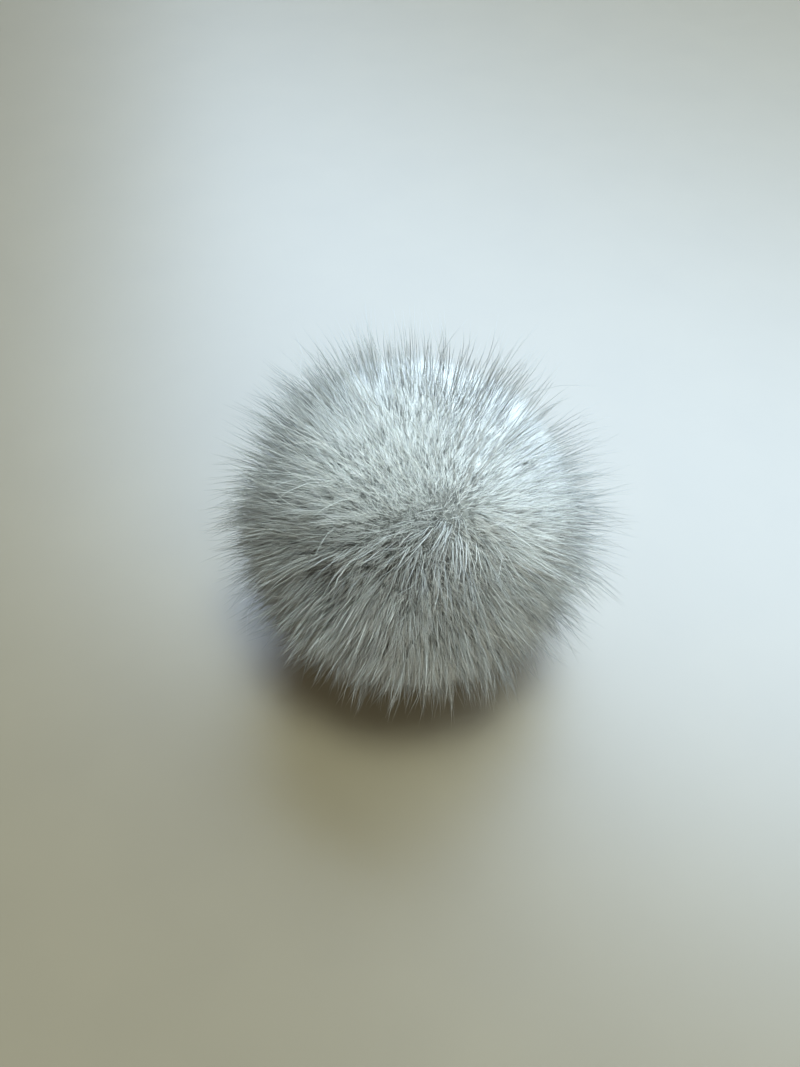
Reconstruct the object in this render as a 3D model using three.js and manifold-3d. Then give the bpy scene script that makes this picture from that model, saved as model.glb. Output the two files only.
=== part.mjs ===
// Fur pom pom: a disc of fur gathered into a ball, which rests on a flat surface.
// Millimetres, +Z up. The origin is on that surface, under the middle of the fur.
//
// The ball is dense fur, a little lumpy, with a small flat spot that it stands on. Tapered locks
// of longer hair part from it all over. They lean with the nap, out from a crown and away from a
// few hollows in the fur. Underneath, the locks are short and splay out until their tips rest on
// the surface.

import * as THREE from "three";
import { mergeVertices } from "three/addons/utils/BufferGeometryUtils.js";
import Module from "manifold-3d";

const wasm = await Module();
wasm.setup();

// Driving dimensions.
const BALL_RADIUS = 21.5; // the dense fur, where the locks stand apart from each other
const CENTRE_HEIGHT = 20.6; // of the ball above the surface
const LUMP_HEIGHT = 0.5; // how far the dense fur rises and falls
// Radians of each wave of the lumps per unit of x, y and z.
const LUMP_WAVES = [[5, 0, 2], [-3, 6, 0], [0, 4, 7]].map((wave) => new THREE.Vector3(...wave));
const LOCK_COUNT = 300; // over the whole ball, the flat spot's share included
const LOCK_REACH = 7.6; // from the dense fur to the tip of a lock of middling length
const REACH_SPREAD = 1.2; // how much longer or shorter a lock may be
const LONG_SIDE = new THREE.Vector3(0.16, 0.16, 0.12); // where locks are longer, per unit of length
const LOCK_RADIUS = 1.8; // of a lock's section where it leaves the ball
const ROOT_DEPTH = 1.2; // of a lock's root below the ball's surface
const TIP_SHARPNESS = 1.4; // how late along its length a lock narrows: 1 is a straight cone
const NAP = new THREE.Vector3(-0.05, -0.13, 0); // the way the hair is brushed, per unit of length
const STRAY_LEAN = 0.15; // how far each lock leans its own way, per unit of length
const PUSH_SPREAD = 1.6; // how much wider than a hollow its push on the locks is felt
const FLOOR_SHARE = 0.8; // of its length that a lock keeps where the surface turns it aside
const FLOOR_KNEE = 0.4; // how far such a lock has its bend moved towards its tip
const ROOT_SHIFT = 0.03; // how unevenly the roots are spread, in radians

// Mesh fineness.
const BALL_DETAIL = 5;
const LOCK_SIDES = 3;
const LOCK_STEPS = 3;

// The crown that the hair is brushed out from comes first, then hollows where the fur parts: the
// bearing, rise and spread of the middle of each in degrees, its depth, and how far locks beside
// it lean away, per unit of length.
const HOLLOWS = [
  { bearing: -61, rise: 52, spread: 20, depth: 0, push: 0.6 },
  { bearing: -126, rise: 24, spread: 12, depth: 2.6, push: 0.2 },
  { bearing: -98, rise: 35, spread: 9, depth: 1.1, push: 0.15 },
  { bearing: 64, rise: 38, spread: 12, depth: 1.0, push: 0.3 },
  { bearing: 160, rise: 12, spread: 12, depth: 1.2, push: 0.3 },
];

const CENTRE = new THREE.Vector3(0, 0, CENTRE_HEIGHT);
const FLAT_SPOT_ANGLE = Math.acos(CENTRE_HEIGHT / BALL_RADIUS);
const CLEAR_OF_FLAT_SPOT = 0.12; // radians from its edge to the nearest root
const GOLDEN_ANGLE = Math.PI * (3 - Math.sqrt(5));

// A repeatable uneven number from -1 to 1 for lock number index.
function uneven(index, salt) {
  const wave = Math.sin(index * 12.9898 + salt * 78.233) * 43758.5453;
  return 2 * (wave - Math.floor(wave)) - 1;
}

function unevenVector(index, salt, length) {
  return new THREE.Vector3(
    uneven(index, salt),
    uneven(index, salt + 1),
    uneven(index, salt + 2),
  ).multiplyScalar(length);
}

function hollowMiddle({ bearing, rise }) {
  const [turn, climb] = [bearing, rise].map(THREE.MathUtils.degToRad);
  const across = Math.cos(climb);
  return new THREE.Vector3(Math.cos(turn) * across, Math.sin(turn) * across, Math.sin(climb));
}

// How much of a hollow is felt in this direction: 1 at its middle, falling to 0 around it.
function hollowShare(hollow, direction) {
  const away = THREE.MathUtils.radToDeg(direction.angleTo(hollowMiddle(hollow)));
  return Math.exp(-((away / hollow.spread) ** 2));
}

// From the centre to the dense fur's surface, before it settles on its flat spot.
function ballRadius(direction) {
  const lumps = LUMP_WAVES.reduce((sum, wave) => sum + Math.sin(wave.dot(direction)), 0);
  const dips = HOLLOWS.reduce((sum, h) => sum + h.depth * hollowShare(h, direction), 0);
  return BALL_RADIUS + (LUMP_HEIGHT * lumps) / LUMP_WAVES.length - dips;
}

// Moves each vertex of a geometry to where place() puts it.
function reshape(geometry, place) {
  const position = geometry.attributes.position;
  const point = new THREE.Vector3();
  for (let i = 0; i < position.count; i++) {
    place(point.fromBufferAttribute(position, i));
    position.setXYZ(i, point.x, point.y, point.z);
  }
  return geometry;
}

// A closed geometry as a solid, with its shared vertices merged.
function solidOf(geometry) {
  geometry.deleteAttribute("normal");
  geometry.deleteAttribute("uv");
  const merged = mergeVertices(geometry, 1e-4);
  return new wasm.Manifold(
    new wasm.Mesh({
      numProp: 3,
      vertProperties: merged.attributes.position.array,
      triVerts: new Uint32Array(merged.index.array),
    }),
  );
}

function geometryOf(solid) {
  const { vertProperties, triVerts } = solid.getMesh();
  return new THREE.BufferGeometry()
    .setAttribute("position", new THREE.BufferAttribute(vertProperties, 3))
    .setIndex(new THREE.BufferAttribute(triVerts, 1));
}

// The dense fur, level where it has settled on the surface.
function denseBall() {
  const place = (point) => {
    point.normalize();
    point.multiplyScalar(ballRadius(point)).add(CENTRE);
  };
  const ball = solidOf(reshape(new THREE.IcosahedronGeometry(1, BALL_DETAIL), place));
  const width = 4 * BALL_RADIUS;
  const below = new THREE.BoxGeometry(width, width, width).translate(0, 0, -width / 2);
  return ball.subtract(solidOf(below));
}

// Where lock number index is rooted, seen from the centre: the golden angle spreads the roots
// evenly over the ball, and each is then shifted a little.
function rootDirection(index) {
  const height = 1 - (2 * index + 1) / LOCK_COUNT;
  const across = Math.sqrt(1 - height * height);
  const turn = index * GOLDEN_ANGLE;
  return new THREE.Vector3(across * Math.cos(turn), across * Math.sin(turn), height)
    .add(unevenVector(index, 1, ROOT_SHIFT))
    .normalize();
}

// How far the hair leans from square to the ball: with the nap, and away from each hollow.
function leanAt(direction) {
  const lean = NAP.clone();
  for (const hollow of HOLLOWS) {
    const away = direction.clone().sub(hollowMiddle(hollow)).normalize();
    const share = hollowShare({ ...hollow, spread: PUSH_SPREAD * hollow.spread }, direction);
    lean.addScaledVector(away, hollow.push * share);
  }
  return lean.projectOnPlane(direction);
}

// The line that a lock follows: square out of the ball, then over with its lean. One that would
// pass through the surface is turned aside, and its tip rests on it.
function lockLine(index, direction) {
  const longer = 1 + direction.dot(LONG_SIDE);
  const reach = LOCK_REACH * longer + REACH_SPREAD * uneven(index, 4) + ROOT_DEPTH;
  const root = direction.clone().multiplyScalar(ballRadius(direction) - ROOT_DEPTH).add(CENTRE);
  const lean = leanAt(direction).add(unevenVector(index, 5, STRAY_LEAN));
  const travel = direction.clone().add(lean).setLength(reach);
  const tip = root.clone().add(travel);
  const knee = root.clone().addScaledVector(direction, reach / 2);
  if (tip.z < 0) {
    const level = FLOOR_SHARE * Math.sqrt(Math.max(reach ** 2 - root.z ** 2, 0));
    tip.copy(root).addScaledVector(travel.setZ(0).normalize(), level).setZ(0);
    knee.lerp(tip, FLOOR_KNEE).setZ(Math.max(knee.z, root.z / 2));
  }
  return new THREE.QuadraticBezierCurve3(root, knee, tip);
}

// A cone bent along the lock's line, full near its root and fine at its tip.
function lock(index, direction) {
  const line = lockLine(index, direction);
  const radius = Math.min(LOCK_RADIUS, LOCK_RADIUS * (line.getLength() / (LOCK_REACH + ROOT_DEPTH)));
  const roll = Math.PI * uneven(index, 8);
  const place = (point) => {
    const along = point.y + 0.5;
    const wide = along < 1 ? (radius * (1 - along ** TIP_SHARPNESS)) / (1 - along) : 0;
    const forward = line.getTangent(along);
    const aside = new THREE.Vector3(0, 0, 1).cross(direction).normalize();
    aside.projectOnPlane(forward).normalize().applyAxisAngle(forward, roll);
    const across = aside.clone().cross(forward);
    const [x, z] = [point.x * wide, point.z * wide];
    point.copy(line.getPoint(along)).addScaledVector(aside, x).addScaledVector(across, z);
    point.z = Math.max(point.z, 0);
  };
  return solidOf(reshape(new THREE.ConeGeometry(1, 1, LOCK_SIDES, LOCK_STEPS), place));
}

function furBall() {
  const locks = [];
  for (let index = 0; index < LOCK_COUNT; index++) {
    const direction = rootDirection(index);
    const fromBelow = direction.angleTo(new THREE.Vector3(0, 0, -1));
    if (fromBelow > FLAT_SPOT_ANGLE + CLEAR_OF_FLAT_SPOT) locks.push(lock(index, direction));
  }
  const geometry = geometryOf(wasm.Manifold.union([denseBall(), ...locks]));
  geometry.computeBoundingBox();
  const middle = geometry.boundingBox.getCenter(new THREE.Vector3());
  return geometry.translate(-middle.x, -middle.y, 0);
}

const fur = new THREE.MeshStandardMaterial({ color: 0xd3d8d6, roughness: 0.62, metalness: 0 });

const pomPom = new THREE.Group();
const ball = new THREE.Mesh(furBall(), fur);
ball.name = "fur_ball";
pomPom.add(ball);

export default pomPom;
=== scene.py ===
# A fur pom pom: a ball of pale grey fur that is brushed out from a crown, on a plain pale floor.
#
# A lumpy ball of dense fur lies at the middle. Four coats of hair grow from it, all made by one
# tree of Geometry Nodes: short underfur, soft hair, long guard hair that stands clear of both, and
# a few stray hairs. Hair gathers into small tufts, and tufts into locks, which are rooted where
# those of the solid "fur_ball" are. Hair that would pass through the floor lies down on it.
#
# The fur isn't the same all round. On and behind the crown it is foggy: it has less long hair,
# and a hair there is pale from its root on and of a more even shade. In the hollows the fur parts,
# so some of its hair is missing.

import math
from collections import namedtuple

import bpy
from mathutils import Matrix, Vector

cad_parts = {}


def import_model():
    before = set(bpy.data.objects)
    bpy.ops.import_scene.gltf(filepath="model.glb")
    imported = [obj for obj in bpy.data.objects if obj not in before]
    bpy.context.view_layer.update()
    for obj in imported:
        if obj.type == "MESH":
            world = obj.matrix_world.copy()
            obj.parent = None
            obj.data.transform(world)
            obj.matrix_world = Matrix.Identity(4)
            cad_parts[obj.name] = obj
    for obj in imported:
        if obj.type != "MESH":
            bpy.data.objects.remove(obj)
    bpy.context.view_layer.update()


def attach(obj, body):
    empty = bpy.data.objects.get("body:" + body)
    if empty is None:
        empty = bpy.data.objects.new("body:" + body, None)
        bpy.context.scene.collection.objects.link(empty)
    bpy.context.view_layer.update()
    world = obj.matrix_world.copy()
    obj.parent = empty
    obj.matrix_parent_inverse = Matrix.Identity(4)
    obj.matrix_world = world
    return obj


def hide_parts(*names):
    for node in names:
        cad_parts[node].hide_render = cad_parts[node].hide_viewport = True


MM = 0.001

# The ball of fur and the way its hair lies. These repeat the sizes of the solid.
BALL_CENTRE = Vector((-1.4541, -0.9457, 20.6)) * MM
BALL_RADIUS = 21.5 * MM
LUMP_HEIGHT = 0.5 * MM
LUMP_WAVES = ((5, 0, 2), (-3, 6, 0), (0, 4, 7))  # radians of each wave per unit of x, y and z
LOCK_COUNT = 300
ROOT_SHIFT = 0.03  # how unevenly locks are rooted, per unit of the ball's radius
STRAY_LEAN = 0.22  # how far a lock or tuft leans its own way, per unit of its length
NAP = Vector((-0.05, -0.13, 0.0))  # the way the hair is brushed, per unit of its length
DRIFT = 0.8  # how far the lean wanders over the ball, per unit of length
DRIFT_SCALE = 2.4  # how many times it wanders per unit of x, y and z
DRIFT_DETAIL = 1
HOLLOW_PUSH_SPREAD = 1.6  # how much wider than a hollow its push is felt
FLOOR_SHARE = 0.8  # of its length that hair keeps where the floor turns it aside
FLOOR_KNEE = 0.4  # how far hair that the floor turns has its bend moved towards its tip
LOWEST_KNEE = 0.5  # the least height of that bend, per unit of its root's height

# The crown that the hair is brushed out from comes first, then hollows where the fur parts. Each
# has the bearing, rise and spread of its middle in degrees, its depth, and how far hair beside it
# leans away, per unit of its length.
Hollow = namedtuple("Hollow", "bearing rise spread depth push")
HOLLOWS = (
    Hollow(-61, 52, 20, 0.0 * MM, 0.6),
    Hollow(-126, 24, 12, 2.6 * MM, 0.2),
    Hollow(-98, 35, 9, 1.1 * MM, 0.15),
    Hollow(64, 38, 12, 1.0 * MM, 0.3),
    Hollow(160, 12, 12, 1.2 * MM, 0.3),
)
PARTING = 0.7  # of the hair is missing where the fur parts most

# The tufts that hair gathers into.
TUFT_COUNT = 2400
TUFT_SHIFT = 0.02  # how unevenly tufts are rooted, per unit of the ball's radius
TUFT_REACH_SPREAD = 0.24  # how much longer or shorter a tuft is, per unit of its length
LOCK_PULL = 0.3  # how far a tuft's tip is drawn to its lock

# One hair.
TIP_SHARPNESS = 1.8  # how late along its length a hair narrows: 1 is a straight cone
THICKNESS_RANGE = (0.75, 1.2)  # of single hairs, per unit of the coat's
PULL_RANGE = (0.5, 1.0)  # of single hairs to their tufts, per unit of the coat's
DENSE_SIDE = Vector((-0.06, 0.20, 0.18))  # the short fur is deeper this way, per unit of its reach
LONG_SIDE = Vector((0.10, 0.28, 0.26))  # long hair is longer this way, per unit of its reach

# The foggy fur.
FOG_MIDDLES = (
    Vector((-0.16, -0.20, 0.97)),
    Vector((0.60, -0.15, 0.78)),
    Vector((0.10, 0.70, 0.71)),
    Vector((0.72, 0.45, 0.53)),
)
FOG_EDGES = (0.78, 0.97)  # cosines of the angles from a middle where it starts and is full
FOG_PALENESS = 0.8  # how far from root to tip the colour at the root of a foggy hair is taken
FOG_EVENNESS = 0.95  # how much less the shade of foggy hair varies

# The shade of each hair: its own tone, with painted shade on the side towards the window.
TUFT_SHADE = 0.4  # of a hair's shade is its tuft's, and the rest is its own
SHADE_SKEW = 2.5  # above 1, more hairs are dark than light
PAINTED_SHADE_SIDE = Vector((0.45, 0.80, 0.40))  # painted shade: hair is darker this way, towards the window, as backlit hair looks
PAINTED_SHADE_EDGES = (-0.1, 0.65)  # how far that way the painted shade starts and is deepest

# The map for baking. A hair's colour depends on its shade and on how far along it a point is,
# so hairs of one shade share a column of the map and run up it from root to tip.
TONE_COLUMNS = 64
TOP_TONE = TONE_COLUMNS - 0.01  # just under, so that the lightest hair is in the last column
COLUMN_FILL = 0.45  # how wide a hair is in its column, to each side of the column's middle
MAP_ROOT = 0.03  # where a hair's root is, up its column
MAP_LENGTH = 0.95  # how long a hair is, up its column
MAP_SLANT = 0.025  # how far apart its three edges are, up its column
MAP_TURN = math.radians(30)  # turns a hair in its column, so that its three edges lie apart

# What the tree of a coat is given, and the kind of each input.
COAT_INPUTS = {
    "Hairs": "Int",  # before any are left out
    "Foggy Share": "Float",  # of the hairs that are there where the fur is foggy
    "Segments": "Int",  # that a hair bows in
    "Seed": "Int",
    "Root Depth": "Float",  # below the surface of the ball
    "Reach": "Float",  # how far a hair's tip is from its root
    "Reach Spread": "Float",  # how much more or less that is for single hairs
    "Longer": "Vector",  # the way that the coat is longer, per unit of its reach
    "Longest": "Float",  # the most that this adds, per unit of its reach
    "Radius": "Float",  # at the root
    "Lean Share": "Float",  # of the fur's lean that the coat has
    "Tuft Pull": "Float",  # how far a hair's tip is drawn to its tuft
    "Stray Lean": "Float",  # how far a hair leans its own way, per unit of its length
    "Bow": "Float",  # how far out a hair bends over, per unit of its reach
    "Curl": "Float",  # how far to any side that bend is, per unit of its height
    "Uneven Shade": "Float",  # how much darker the darkest hair is than the lightest
    "Painted Shade": "Float",  # how much painted shade the hair has on the side towards the window
    "Material": "Material",
}

# A coat's colours at the root, half way and at the tip, the darker root partly the hair's own
# colour and partly painted shade deep in the fur, how much its shades differ, its roughness and
# gloss, and how much light goes through it.
Finish = namedtuple("Finish", "root middle tip tone_spread roughness gloss glow")
Coat = namedtuple("Coat", "name pieces inputs finish")
COATS = (
    Coat(
        name="underfur",
        pieces=3,
        inputs={
            "Hairs": 48000,
            "Foggy Share": 1.0,
            "Segments": 1,
            "Root Depth": 2.4 * MM,
            "Reach": 3.2 * MM,
            "Reach Spread": 2.2 * MM,
            "Longer": DENSE_SIDE,
            "Longest": 0.0,
            "Radius": 0.05 * MM,
            "Lean Share": 0.5,
            "Tuft Pull": 0.2,
            "Stray Lean": 0.5,
            "Bow": 0.5,
            "Curl": 0.0,
            "Uneven Shade": 0.15,
            "Painted Shade": 0.92,
        },
        finish=Finish(
            root=(0.26, 0.25, 0.23, 1),
            middle=(0.52, 0.53, 0.51, 1),
            tip=(0.74, 0.75, 0.75, 1),
            tone_spread=0.78,
            roughness=0.6,
            gloss=0.0,
            glow=1.0,
        ),
    ),
    Coat(
        name="soft_hair",
        pieces=2,
        inputs={
            "Hairs": 13800,
            "Foggy Share": 0.5,
            "Segments": 2,
            "Root Depth": 2.4 * MM,
            "Reach": 4.8 * MM,
            "Reach Spread": 2.4 * MM,
            "Longer": DENSE_SIDE,
            "Longest": 0.0,
            "Radius": 0.045 * MM,
            "Lean Share": 0.9,
            "Tuft Pull": 0.7,
            "Stray Lean": 0.2,
            "Bow": 0.5,
            "Curl": 0.12,
            "Uneven Shade": 0.8,
            "Painted Shade": 0.85,
        },
        finish=Finish(
            root=(0.24, 0.23, 0.21, 1),
            middle=(0.68, 0.69, 0.67, 1),
            tip=(0.94, 0.95, 0.94, 1),
            tone_spread=0.62,
            roughness=0.5,
            gloss=0.15,
            glow=0.0,
        ),
    ),
    Coat(
        name="guard_hair",
        pieces=1,
        inputs={
            "Hairs": 11200,
            "Foggy Share": 0.22,
            "Segments": 3,
            "Root Depth": 2.4 * MM,
            "Reach": 8.8 * MM,
            "Reach Spread": 2.4 * MM,
            "Longer": LONG_SIDE,
            "Longest": 0.12,
            "Radius": 0.064 * MM,
            "Lean Share": 1.0,
            "Tuft Pull": 0.55,
            "Stray Lean": 0.2,
            "Bow": 0.5,
            "Curl": 0.12,
            "Uneven Shade": 0.85,
            "Painted Shade": 0.7,
        },
        finish=Finish(
            root=(0.40, 0.39, 0.36, 1),
            middle=(0.86, 0.87, 0.85, 1),
            tip=(0.97, 0.98, 0.97, 1),
            tone_spread=0.75,
            roughness=0.4,
            gloss=0.3,
            glow=0.0,
        ),
    ),
    Coat(
        name="stray_hair",
        pieces=1,
        inputs={
            "Hairs": 240,
            "Foggy Share": 1.0,
            "Segments": 4,
            "Root Depth": 2.4 * MM,
            "Reach": 10.4 * MM,
            "Reach Spread": 2.0 * MM,
            "Longer": LONG_SIDE,
            "Longest": 0.15,
            "Radius": 0.055 * MM,
            "Lean Share": 1.0,
            "Tuft Pull": 0.0,
            "Stray Lean": 0.6,
            "Bow": 0.5,
            "Curl": 0.4,
            "Uneven Shade": 0.8,
            "Painted Shade": 0.8,
        },
        finish=Finish(
            root=(0.60, 0.60, 0.56, 1),
            middle=(0.85, 0.86, 0.84, 1),
            tip=(0.95, 0.96, 0.94, 1),
            tone_spread=0.62,
            roughness=0.5,
            gloss=0.3,
            glow=0.0,
        ),
    ),
)
ROUGHER = 0.1  # how much rougher the lightest hair is than the darkest
GLOW_DEPTH = 0.5 * MM  # how far light goes through hair

# The dense fur under the coats, darker than them as painted shade of the deep fur between the
# hairs. It is a little higher where the fur is foggy, and greyer and more even near its top.
CORE_DEPTH = 1.7 * MM  # below the surface of the ball
CORE_RISE = 0.5 * MM  # where the fur is foggiest
CORE_SUBDIVISIONS = 6
CORE_LOW = ((0.24, 0.23, 0.21, 1), (0.36, 0.35, 0.32, 1))  # its darkest and lightest colour, dark as painted shade of the deep fur
CORE_HIGH = ((0.26, 0.27, 0.27, 1), (0.34, 0.35, 0.35, 1))
CORE_EDGES = (28 * MM, 38 * MM)  # heights where the high colours start and are full
CORE_MOTTLE_SCALE = 900  # per metre
CORE_MOTTLE_DETAIL = 4
CORE_ROUGHNESS = 0.85
MAT_HEIGHT = 0.5 * MM  # from the lowest to the highest of its matted surface
MAT_SCALE = 24  # mats per unit of the ball's radius
MAT_DETAIL = 3
FINE_MAT_HEIGHT = 0.2 * MM  # of the finer mats, which are only a bump
FINE_MAT_STRENGTH = 0.6

# The room, in metres and watts.
FLOOR_SIDE = 6.0
FLOOR_COLOURS = ((0.25, 0.205, 0.135, 1), (0.28, 0.23, 0.15, 1))
FLOOR_MOTTLE_SCALE = 60
FLOOR_MOTTLE_DETAIL = 5
FLOOR_ROUGHNESS = 0.42
FLOOR_IOR = 1.95
WALL_COLOUR = (0.19, 0.18, 0.165, 1)
CEILING_COLOUR = (0.05, 0.035, 0.025, 1)
CEILING_EDGES = (0.1, 0.5)  # sines of the angles above level where it starts and is full
Light = namedtuple("Light", "name place size power colour is_mirrored")
LIGHTS = (
    Light("window", (0.22, 0.44, 0.48), (1.20, 0.50), 8.4, (0.56, 0.73, 0.94), True),
    Light("lamp", (0.08, -0.04, 0.70), (0.22, 0.22), 5.0, (0.84, 1.0, 0.98), False),
    Light("fill", (0.30, -0.48, 0.38), (0.30, 0.30), 1.7, (0.95, 1.0, 0.88), False),
)

# The camera.
CAMERA_ELEVATION = math.radians(50)
CAMERA_DISTANCE = 122 * MM  # from the ball's centre
CAMERA_NEAR = 1 * MM
FRAME_HEIGHT = 1067  # pixels
FOCAL_LENGTH = 850  # pixels
SENSOR = 36  # millimetres, along the frame's height
BALL_RIGHT = 13  # pixels from the frame's middle to the ball's centre
BALL_UP = 8

GOLDEN_ANGLE = math.pi * (3 - math.sqrt(5))
FLAT = Vector((1, 1, 0))  # a place times this has no height


class Wire:
    """An output of a node tree. Arithmetic on it adds Math nodes, or Vector Math nodes."""

    def __init__(self, graph, socket):
        self.graph = graph
        self.socket = socket

    def __add__(self, other):
        return self.graph.maths("ADD", self, other)

    def __radd__(self, other):
        return self.graph.maths("ADD", other, self)

    def __sub__(self, other):
        return self.graph.maths("SUBTRACT", self, other)

    def __rsub__(self, other):
        return self.graph.maths("SUBTRACT", other, self)

    def __mul__(self, other):
        return self.graph.maths("MULTIPLY", self, other)

    def __rmul__(self, other):
        return self.graph.maths("MULTIPLY", other, self)

    def __truediv__(self, other):
        return self.graph.maths("DIVIDE", self, other)

    def __pow__(self, other):
        return self.graph.maths("POWER", self, other)

    def __lt__(self, other):
        return self.graph.maths("LESS_THAN", self, other)


def is_vector(value):
    if isinstance(value, Wire):
        return value.socket.type in ("VECTOR", "RGBA")
    return isinstance(value, (tuple, Vector))


class Graph:
    """Adds nodes to one tree, for a material, for the room or for geometry."""

    def __init__(self, tree):
        self.tree = tree

    def node(self, kind, settings=None, sockets=None, output=0):
        """A new node's output. sockets gives the value or the wire of inputs, by name or number."""
        node = self.tree.nodes.new(kind)
        for name, value in (settings or {}).items():
            setattr(node, name, value)
        for name, value in (sockets or {}).items():
            self.put(value, node.inputs[name])
        return Wire(self, node.outputs[output])

    def typed(self, kind, data_type, sockets):
        """The same for a node that has a set of sockets for each type of data and uses one set."""
        node = self.tree.nodes.new(kind)
        node.data_type = data_type
        for socket in node.inputs:
            if socket.enabled and socket.name in sockets:
                self.put(sockets[socket.name], socket)
        return Wire(self, next(socket for socket in node.outputs if socket.enabled))

    def put(self, value, socket):
        if isinstance(value, Wire):
            self.tree.links.new(value.socket, socket)
        else:
            socket.default_value = value

    def maths(self, operation, *operands):
        """The operation on numbers or on vectors. A vector and a number are always multiplied."""
        sockets = dict(enumerate(operands))
        vectors = [is_vector(operand) for operand in operands]
        if not any(vectors):
            return self.node("ShaderNodeMath", {"operation": operation}, sockets)
        if all(vectors):
            return self.node("ShaderNodeVectorMath", {"operation": operation}, sockets)
        vector, number = operands if vectors[0] else reversed(operands)
        sockets = {"Vector": vector, "Scale": number}
        return self.node("ShaderNodeVectorMath", {"operation": "SCALE"}, sockets)

    def dot(self, a, b):
        sockets = {0: a, 1: b}
        return self.node("ShaderNodeVectorMath", {"operation": "DOT_PRODUCT"}, sockets, "Value")

    def length(self, vector):
        return self.node("ShaderNodeVectorMath", {"operation": "LENGTH"}, {0: vector}, "Value")

    def unit(self, vector):
        return self.node("ShaderNodeVectorMath", {"operation": "NORMALIZE"}, {0: vector})

    def vector(self, x, y, z):
        return self.node("ShaderNodeCombineXYZ", None, {0: x, 1: y, 2: z})

    def part(self, vector, axis):
        return self.node("ShaderNodeSeparateXYZ", None, {0: vector}, axis)

    def mix(self, factor, a, b, data_type="VECTOR"):
        """a where the factor is 0 and b where it is 1."""
        return self.typed("ShaderNodeMix", data_type, {"Factor": factor, "A": a, "B": b})

    def mix_colour(self, factor, a, b):
        return self.mix(factor, a, b, "RGBA")

    def rise(self, value, start, full):
        """0 where the value is at most start, 1 where it is at least full, and even between."""
        sockets = {"Value": value, "From Min": start, "From Max": full}
        return self.node("ShaderNodeMapRange", None, sockets)

    def noise(self, place, scale, detail, output="Fac"):
        sockets = {"Vector": place, "Scale": scale, "Detail": detail}
        return self.node("ShaderNodeTexNoise", None, sockets, output)

    def random(self, low, high, seed):
        """A number, or a vector of numbers, that is different for every point."""
        data_type = "FLOAT_VECTOR" if is_vector(low) else "FLOAT"
        sockets = {"Min": low, "Max": high, "Seed": seed}
        return self.typed("FunctionNodeRandomValue", data_type, sockets)

    def scatter(self, most, seed):
        """A vector whose parts are between -most and most, and different for every point."""
        corner = Vector((most, most, most))
        return self.random(-corner, corner, seed)

    def place(self):
        """Where each point is."""
        return self.node("GeometryNodeInputPosition")

    def capture(self, geometry, *fields):
        """The geometry with these fields fixed on its points, and the fixed fields."""
        node = self.tree.nodes.new("GeometryNodeCaptureAttribute")
        self.put(geometry, node.inputs[0])
        for number, field in enumerate(fields, 1):
            node.capture_items.new("VECTOR" if is_vector(field) else "FLOAT", f"Field {number}")
            self.put(field, node.inputs[number])
        return [Wire(self, node.outputs[number]) for number in range(len(fields) + 1)]

    def sample(self, points, field, index):
        """The field's value at one of the points."""
        data_type = "FLOAT_VECTOR" if is_vector(field) else "FLOAT"
        sockets = {"Geometry": points, "Value": field, "Index": index}
        return self.typed("GeometryNodeSampleIndex", data_type, sockets)

    def store(self, geometry, name, data_type, domain, field):
        """The geometry with this field kept on it under a name."""
        settings = {"data_type": data_type, "domain": domain}
        sockets = {"Geometry": geometry, "Name": name, "Value": field}
        return self.node("GeometryNodeStoreNamedAttribute", settings, sockets)


def new_tree(name, inputs):
    """A new tree of Geometry Nodes, and the wire of each of its inputs by name."""
    tree = bpy.data.node_groups.new(name, "GeometryNodeTree")
    tree.interface.new_socket("Geometry", in_out="OUTPUT", socket_type="NodeSocketGeometry")
    for label, kind in inputs.items():
        tree.interface.new_socket(label, in_out="INPUT", socket_type=f"NodeSocket{kind}")
    g = Graph(tree)
    group = tree.nodes.new("NodeGroupInput")
    return g, {label: Wire(g, group.outputs[label]) for label in inputs}


def finish_tree(g, mesh, material):
    """The tree, once the mesh is smooth, has its material and is what the tree makes."""
    mesh = g.node("GeometryNodeSetShadeSmooth", None, {0: mesh})
    mesh = g.node("GeometryNodeSetMaterial", None, {0: mesh, "Material": material})
    g.put(mesh, g.tree.nodes.new("NodeGroupOutput").inputs[0])
    return g.tree


# The shape of the fur, as fields of the direction from the ball's centre.


def turned(g, height, turn):
    """The direction at this height, from -1 to 1, turned this far round the ball."""
    across = g.maths("SQRT", 1 - height * height)
    return g.vector(across * g.maths("COSINE", turn), across * g.maths("SINE", turn), height)


def hollow_middle(hollow):
    """The direction of a hollow's middle from the ball's centre."""
    turn, climb = math.radians(hollow.bearing), math.radians(hollow.rise)
    across = math.cos(climb)
    return Vector((math.cos(turn) * across, math.sin(turn) * across, math.sin(climb)))


def hollow_share(g, hollow, direction, widening=1):
    """How much of a hollow is felt: 1 at its middle, falling to 0 around it."""
    spread = math.radians(widening * hollow.spread)
    away = g.maths("ARCCOSINE", g.dot(direction, hollow_middle(hollow))) / spread
    return g.maths("EXPONENT", -1 * (away * away))


def ball_radius(g, direction):
    """How far the surface of the ball is from its centre."""
    waves = [g.maths("SINE", g.dot(direction, wave)) for wave in LUMP_WAVES]
    radius = BALL_RADIUS + (LUMP_HEIGHT / len(waves)) * sum(waves[1:], waves[0])
    for hollow in HOLLOWS:
        radius = radius - hollow.depth * hollow_share(g, hollow, direction)
    return radius


def parting_share(g, direction):
    """How far the fur parts: 1 at the middle of the deepest hollow, and 0 outside them all."""
    deepest = max(hollow.depth for hollow in HOLLOWS)
    partings = [
        hollow_share(g, hollow, direction) * (hollow.depth / deepest)
        for hollow in HOLLOWS
        if hollow.depth
    ]
    return sum(partings[1:], partings[0])


def fog_share(g, direction):
    """How foggy the fur is: 1 where mostly dense fur shows, falling to 0 around it."""
    nearness = -1.0
    for middle in FOG_MIDDLES:
        nearness = g.maths("MAXIMUM", g.dot(direction, middle), nearness)
    return g.rise(nearness, *FOG_EDGES)


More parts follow.
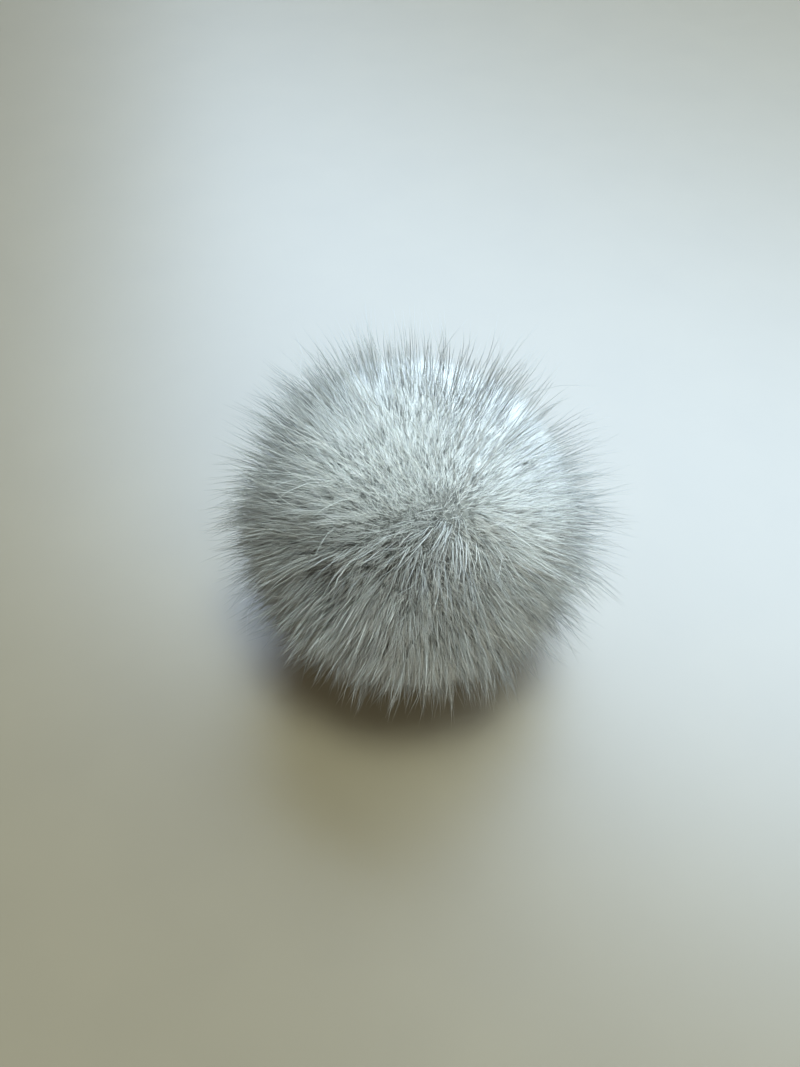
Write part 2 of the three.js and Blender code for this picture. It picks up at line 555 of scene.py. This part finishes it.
def lean_at(g, direction):
    """How far hair leans from square to the ball: with the nap, and away from each hollow."""
    middle = Vector((0.5, 0.5, 0.5))  # of the noise
    drift = g.noise(direction, DRIFT_SCALE, DRIFT_DETAIL, "Color") - middle
    lean = drift * DRIFT + NAP
    for hollow in HOLLOWS:
        away = g.unit(direction - hollow_middle(hollow))
        share = hollow_share(g, hollow, direction, HOLLOW_PUSH_SPREAD)
        lean = away * (hollow.push * share) + lean
    return lean - direction * g.dot(lean, direction)


def travel_at(g, direction, lean_share, stray):
    """The way hair points: out of the ball, but for its share of the lean and its own stray."""
    return g.unit(direction + lean_at(g, direction) * lean_share + stray)


# Roots, and what hair takes from the lock or the tuft nearest to its own.


def rooted(g, given, count, direction):
    """Points under the surface of the ball, and the direction of each as it was made."""
    points = g.node("GeometryNodePoints", None, {"Count": count})
    points, direction = g.capture(points, direction)
    place = direction * (ball_radius(g, direction) - given["Root Depth"]) + BALL_CENTRE
    points = g.node("GeometryNodeSetPosition", None, {"Geometry": points, "Position": place})
    return points, direction


def spread_roots(g, given, count, shift, seed):
    """Roots spread evenly over the ball by the golden angle, but for a shift at random."""
    index = g.node("GeometryNodeInputIndex")
    height = 1 - (2 * index + 1) / count
    even = turned(g, height, index * GOLDEN_ANGLE)
    return rooted(g, given, count, g.unit(even + g.scatter(shift, seed)))


def nearest(g, guides, *fields):
    """The values that the nearest guide has of its own place and of these fields."""
    sockets = {"Geometry": guides, "Sample Position": g.place()}
    index = g.node("GeometryNodeSampleNearest", {"domain": "POINT"}, sockets)
    return [g.sample(guides, field, index) for field in (g.place(), *fields)]


# The steps of the tree that grows a coat. Each random draw has a seed of its own. The locks and
# tufts are the same for every piece, and hair adds the seed of its piece.


def lock_guides(g, given):
    """The roots of the locks, and the way that each lock points."""
    roots, direction = spread_roots(g, given, LOCK_COUNT, ROOT_SHIFT, seed=1)
    travel = travel_at(g, direction, given["Lean Share"], g.scatter(STRAY_LEAN, seed=2))
    return g.capture(roots, travel)


def tuft_guides(g, given, locks, lock_travel):
    """The roots of the tufts, the way that each tuft points, its reach and its shade."""
    roots, direction = spread_roots(g, given, TUFT_COUNT, TUFT_SHIFT, seed=3)
    travel = travel_at(g, direction, given["Lean Share"], g.scatter(STRAY_LEAN, seed=4))
    uneven = g.random(1 - TUFT_REACH_SPREAD, 1 + TUFT_REACH_SPREAD, seed=5)
    longer = g.maths("MINIMUM", g.dot(direction, given["Longer"]), given["Longest"])
    reach = given["Reach"] * (uneven + longer)
    lock_root, travel_there = nearest(g, locks, lock_travel)
    root = g.place()
    tip = g.mix(LOCK_PULL, root + travel * reach, lock_root + travel_there * reach)
    return g.capture(roots, g.unit(tip - root), reach, g.random(0.0, 1.0, seed=6))


def hair_roots(g, given):
    """The roots of the hairs that aren't missing, the direction of each, and its fog."""
    piece = given["Seed"]
    height = g.random(-1.0, 1.0, seed=piece + 7)
    direction = turned(g, height, g.random(0.0, math.tau, seed=piece + 8))
    roots, direction = rooted(g, given, given["Hairs"], direction)
    fog = fog_share(g, direction)
    share = 1 - (1 - given["Foggy Share"]) * fog - PARTING * parting_share(g, direction)
    missing = share < g.random(0.0, 1.0, seed=piece + 15)
    sockets = {"Geometry": roots, "Selection": missing}
    roots = g.node("GeometryNodeDeleteGeometry", {"domain": "POINT"}, sockets)
    return roots, direction, fog


def hair_shade(g, given, direction, fog, tuft_shade):
    """The column of a hair's shade, from the darkest up: its own tone, times the painted shade
    towards the window.
    """
    own_shade = g.random(0.0, 1.0, seed=given["Seed"] + 13)
    light = (TUFT_SHADE * tuft_shade + (1 - TUFT_SHADE) * own_shade) ** SHADE_SKEW
    uneven = given["Uneven Shade"] * (1 - FOG_EVENNESS * fog)
    # painted shade: hair towards the window is darker, as backlit hair looks
    painted_shade = g.rise(g.dot(direction, PAINTED_SHADE_SIDE), *PAINTED_SHADE_EDGES) * given["Painted Shade"]
    tone = (1 - (1 - light) * uneven) * (1 - painted_shade)
    return g.maths("FLOOR", tone * TOP_TONE)


def raised(g, place, height):
    """The place, but no lower than this height."""
    return place * FLAT + g.vector(0, 0, g.maths("MAXIMUM", g.part(place, "Z"), height))


def clear_of_floor(g, root, knee, tip, reach, radius):
    """The bend and tip of a hair, which the floor turns aside if it would pass through."""
    root_height = g.part(root, "Z")
    passes = g.part(tip, "Z") < radius
    forward = g.unit((tip - root) * FLAT)
    left_over = g.maths("MAXIMUM", reach * reach - root_height * root_height, 0)
    level = FLOOR_SHARE * g.maths("SQRT", left_over)
    floor_tip = root * FLAT + forward * level + g.vector(0, 0, radius)
    floor_knee = raised(g, g.mix(FLOOR_KNEE, knee, floor_tip), root_height * LOWEST_KNEE)
    knee = raised(g, g.mix(passes, knee, floor_knee), radius)
    return knee, g.mix(passes, tip, floor_tip)


def hair_course(g, given, direction, radius, tuft_root, tuft_travel, tuft_reach):
    """A hair's straight way from root to tip, and the bow that bends it over above its root."""
    piece = given["Seed"]
    root = g.place()
    stray = g.scatter(1, seed=piece + 9) * given["Stray Lean"]
    travel = travel_at(g, direction, given["Lean Share"], stray)
    reach = tuft_reach + given["Reach Spread"] * g.random(-1.0, 1.0, seed=piece + 10)
    pull = given["Tuft Pull"] * g.random(*PULL_RANGE, seed=piece + 11)
    tip = g.mix(pull, root + travel * reach, tuft_root + tuft_travel * reach)
    curl = g.scatter(1, seed=piece + 14) * given["Curl"]
    knee = root + (direction + curl) * (reach * given["Bow"])
    knee, tip = clear_of_floor(g, root, knee, tip, reach, radius)
    return tip - root, knee * 2.0 - root - tip


def strand(g, segments):
    """One hair of length 1 along +Z, how far along it a point is, and its place in the map."""
    sockets = {
        "Vertices": 3,
        "Side Segments": segments,
        "Radius Top": 0,
        "Radius Bottom": 1,
        "Depth": 1,
    }
    cone = g.node("GeometryNodeMeshCone", {"fill_type": "NGON"}, sockets)
    cone, place = g.capture(cone, g.place())
    x, y, along = (g.part(place, axis) for axis in "XYZ")
    narrowness = g.maths("MAXIMUM", 1 - along, 0.01)  # never 0, as it divides
    fullness = (1 - along**TIP_SHARPNESS) / narrowness
    place = g.vector(x * fullness, y * fullness, along)
    cone = g.node("GeometryNodeSetPosition", None, {"Geometry": cone, "Position": place})
    across = x * math.cos(MAP_TURN) + y * math.sin(MAP_TURN)
    slant = y * math.cos(MAP_TURN) - x * math.sin(MAP_TURN)
    return g.capture(cone, along, across, slant)


def coat_tree():
    """The tree that grows one piece of a coat of hair."""
    g, given = new_tree("Coat of hair", COAT_INPUTS)
    tufts, *tuft_fields = tuft_guides(g, given, *lock_guides(g, given))
    hairs, direction, fog = hair_roots(g, given)
    tuft_root, tuft_travel, tuft_reach, tuft_shade = nearest(g, tufts, *tuft_fields)
    radius = given["Radius"] * g.random(*THICKNESS_RANGE, seed=given["Seed"] + 12)
    span, bow = hair_course(g, given, direction, radius, tuft_root, tuft_travel, tuft_reach)
    column = hair_shade(g, given, direction, fog, tuft_shade)
    pale = fog * FOG_PALENESS
    hairs, bow, span, radius, column, pale = g.capture(hairs, bow, span, radius, column, pale)

    cone, along, across, slant = strand(g, given["Segments"])
    turn = g.node("FunctionNodeAlignRotationToVector", {"axis": "Z"}, {"Vector": span})
    size = g.vector(radius, radius, g.length(span))
    sockets = {"Points": hairs, "Instance": cone, "Rotation": turn, "Scale": size}
    fur = g.node("GeometryNodeInstanceOnPoints", None, sockets)
    fur = g.node("GeometryNodeRealizeInstances", None, {0: fur})
    bowed = bow * (along * (1 - along))
    fur = g.node("GeometryNodeSetPosition", None, {"Geometry": fur, "Offset": bowed})

    shown_along = along + pale * (1 - along)
    fur = g.store(fur, "along", "FLOAT", "POINT", shown_along)
    fur = g.store(fur, "tone", "FLOAT", "POINT", (column + 0.5) / TONE_COLUMNS)
    u = (column + 0.5 + COLUMN_FILL * across) / TONE_COLUMNS
    v = MAP_ROOT + MAP_LENGTH * shown_along + MAP_SLANT * slant
    fur = g.store(fur, "OFBake", "FLOAT2", "CORNER", g.vector(u, v, 0))
    return finish_tree(g, fur, given["Material"])


def core_tree():
    """The tree that makes the dense fur under the coats: a lumpy ball with a matted surface."""
    kinds = {"Depth": "Float", "Mat Height": "Float", "Material": "Material"}
    g, given = new_tree("Dense fur", kinds)
    sockets = {"Radius": 1, "Subdivisions": CORE_SUBDIVISIONS}
    ball = g.node("GeometryNodeMeshIcoSphere", None, sockets)
    direction = g.unit(g.place())
    mats = given["Mat Height"] * (g.noise(direction, MAT_SCALE, MAT_DETAIL) - 0.5)
    depth = given["Depth"] - CORE_RISE * fog_share(g, direction)
    place = direction * (ball_radius(g, direction) - depth + mats) + BALL_CENTRE
    ball = g.node("GeometryNodeSetPosition", None, {"Geometry": ball, "Position": place})
    return finish_tree(g, ball, given["Material"])


def grow(name, tree, values):
    """Makes a piece of the part: the plain mesh that a tree makes with these values as inputs."""
    piece = bpy.data.objects.new(name, bpy.data.meshes.new(name))
    bpy.context.scene.collection.objects.link(piece)
    modifier = piece.modifiers.new("Grow", "NODES")
    modifier.node_group = tree
    for item in tree.interface.items_tree:
        if item.in_out == "INPUT":
            modifier[item.identifier] = values[item.name]
    made = piece.evaluated_get(bpy.context.evaluated_depsgraph_get())
    mesh = bpy.data.meshes.new_from_object(made)
    piece.modifiers.clear()
    piece.data = mesh
    mesh.name = name
    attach(piece, "root")
    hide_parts("fur_ball")


# Materials.


def new_material(name):
    """A new material, the graph of its nodes, and its shader."""
    material = bpy.data.materials.new(name)
    material.use_nodes = True
    return material, Graph(material.node_tree), material.node_tree.nodes["Principled BSDF"]


def hair_material(name, finish):
    """Hair that changes colour from root to tip, each hair in its own shade. The darker root is
    partly its own colour and partly painted shade deep in the fur.
    """
    material, g, shader = new_material(name)
    along = g.node("ShaderNodeAttribute", {"attribute_name": "along"}, None, "Fac")
    tone = g.node("ShaderNodeAttribute", {"attribute_name": "tone"}, None, "Fac")
    # darker at the root: partly the hair's own colour, partly painted shade deep in the fur
    colour = g.mix_colour(g.rise(along, 0.0, 0.5), finish.root, finish.middle)
    colour = g.mix_colour(g.rise(along, 0.5, 1.0), colour, finish.tip)
    # the tone holds each hair's own shade and the painted shade on the side towards the window
    shade = 1 - finish.tone_spread * (1 - tone)
    sockets = {"Color": colour, "Value": shade}
    g.put(g.node("ShaderNodeHueSaturation", None, sockets), shader.inputs["Base Color"])
    g.put(finish.roughness + ROUGHER * tone, shader.inputs["Roughness"])
    shader.inputs["Specular IOR Level"].default_value = finish.gloss
    shader.inputs["Subsurface Weight"].default_value = finish.glow
    shader.inputs["Subsurface Radius"].default_value = (1, 1, 1)
    shader.inputs["Subsurface Scale"].default_value = GLOW_DEPTH
    return material


def core_material():
    """Matted fur seen between the hairs: mottled and dull, and darker than the coats as painted
    shade of the deep fur.
    """
    material, g, shader = new_material("matted fur")
    place = g.node("ShaderNodeTexCoord", None, None, "Object")
    mottle = g.noise(place, CORE_MOTTLE_SCALE, CORE_MOTTLE_DETAIL)
    # painted shade: these colours are dark for the deep fur between the hairs
    low = g.mix_colour(mottle, *CORE_LOW)
    high = g.mix_colour(mottle, *CORE_HIGH)
    colour = g.mix_colour(g.rise(g.part(place, "Z"), *CORE_EDGES), low, high)
    g.put(colour, shader.inputs["Base Color"])
    shader.inputs["Roughness"].default_value = CORE_ROUGHNESS
    shader.inputs["Specular IOR Level"].default_value = 0.0
    sockets = {"Height": mottle, "Strength": FINE_MAT_STRENGTH, "Distance": FINE_MAT_HEIGHT}
    g.put(g.node("ShaderNodeBump", None, sockets), shader.inputs["Normal"])
    return material


def floor_material():
    """A smooth floor with a faint mottle, which mirrors the window softly."""
    material, g, shader = new_material("pale floor")
    place = g.node("ShaderNodeTexCoord", None, None, "Object")
    mottle = g.noise(place, FLOOR_MOTTLE_SCALE, FLOOR_MOTTLE_DETAIL)
    g.put(g.mix_colour(mottle, *FLOOR_COLOURS), shader.inputs["Base Color"])
    shader.inputs["Roughness"].default_value = FLOOR_ROUGHNESS
    shader.inputs["IOR"].default_value = FLOOR_IOR
    shader.inputs["Specular IOR Level"].default_value = 1.0
    return material


# The floor, the light and the camera.


def make_floor():
    half = FLOOR_SIDE / 2
    mesh = bpy.data.meshes.new("floor")
    corners = [(x * half, y * half, 0) for x, y in ((-1, -1), (1, -1), (1, 1), (-1, 1))]
    mesh.from_pydata(corners, [], [(0, 1, 2, 3)])
    mesh.materials.append(floor_material())
    floor = bpy.data.objects.new("floor", mesh)
    bpy.context.scene.collection.objects.link(floor)


def make_light(light):
    """A soft light that faces the ball. One that isn't mirrored gives the floor no glare."""
    data = bpy.data.lights.new(light.name, "AREA")
    data.shape = "RECTANGLE"
    data.size, data.size_y = light.size
    data.energy = light.power
    data.color = light.colour
    lamp = bpy.data.objects.new(light.name, data)
    lamp.location = light.place
    towards = BALL_CENTRE - Vector(light.place)
    lamp.rotation_euler = towards.to_track_quat("-Z", "Y").to_euler()
    lamp.visible_glossy = light.is_mirrored
    bpy.context.scene.collection.objects.link(lamp)


def make_world():
    """A room with pale walls and a dim ceiling."""
    world = bpy.data.worlds.new("room")
    world.use_nodes = True
    g = Graph(world.node_tree)
    height = g.part(g.node("ShaderNodeTexCoord", None, None, "Generated"), "Z")
    colour = g.mix_colour(g.rise(height, *CEILING_EDGES), WALL_COLOUR, CEILING_COLOUR)
    g.put(colour, world.node_tree.nodes["Background"].inputs["Color"])
    bpy.context.scene.world = world


def make_camera():
    data = bpy.data.cameras.new("camera")
    data.sensor_width = SENSOR
    data.lens = SENSOR * FOCAL_LENGTH / FRAME_HEIGHT
    data.clip_start = CAMERA_NEAR
    camera = bpy.data.objects.new("camera", data)
    back = Vector((0, -math.cos(CAMERA_ELEVATION), math.sin(CAMERA_ELEVATION)))
    up = Vector((0, math.sin(CAMERA_ELEVATION), math.cos(CAMERA_ELEVATION)))
    right = Vector((1, 0, 0))
    pixel = CAMERA_DISTANCE / FOCAL_LENGTH
    camera.location = BALL_CENTRE + back * CAMERA_DISTANCE
    aim = BALL_CENTRE - right * (BALL_RIGHT * pixel) - up * (BALL_UP * pixel)
    camera.rotation_euler = (aim - camera.location).to_track_quat("-Z", "Y").to_euler()
    bpy.context.scene.collection.objects.link(camera)
    bpy.context.scene.camera = camera


def main():
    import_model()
    bpy.context.scene.view_settings.view_transform = "Standard"

    make_camera()
    make_world()
    for light in LIGHTS:
        make_light(light)
    make_floor()

    core = {"Depth": CORE_DEPTH, "Mat Height": MAT_HEIGHT, "Material": core_material()}
    grow("dense_fur", core_tree(), core)
    tree = coat_tree()
    for coat in COATS:
        material = hair_material(coat.name.replace("_", " "), coat.finish)
        for number in range(1, coat.pieces + 1):
            values = {**coat.inputs, "Seed": 100 * number, "Material": material}
            grow(f"{coat.name}_{number}", tree, values)


main()
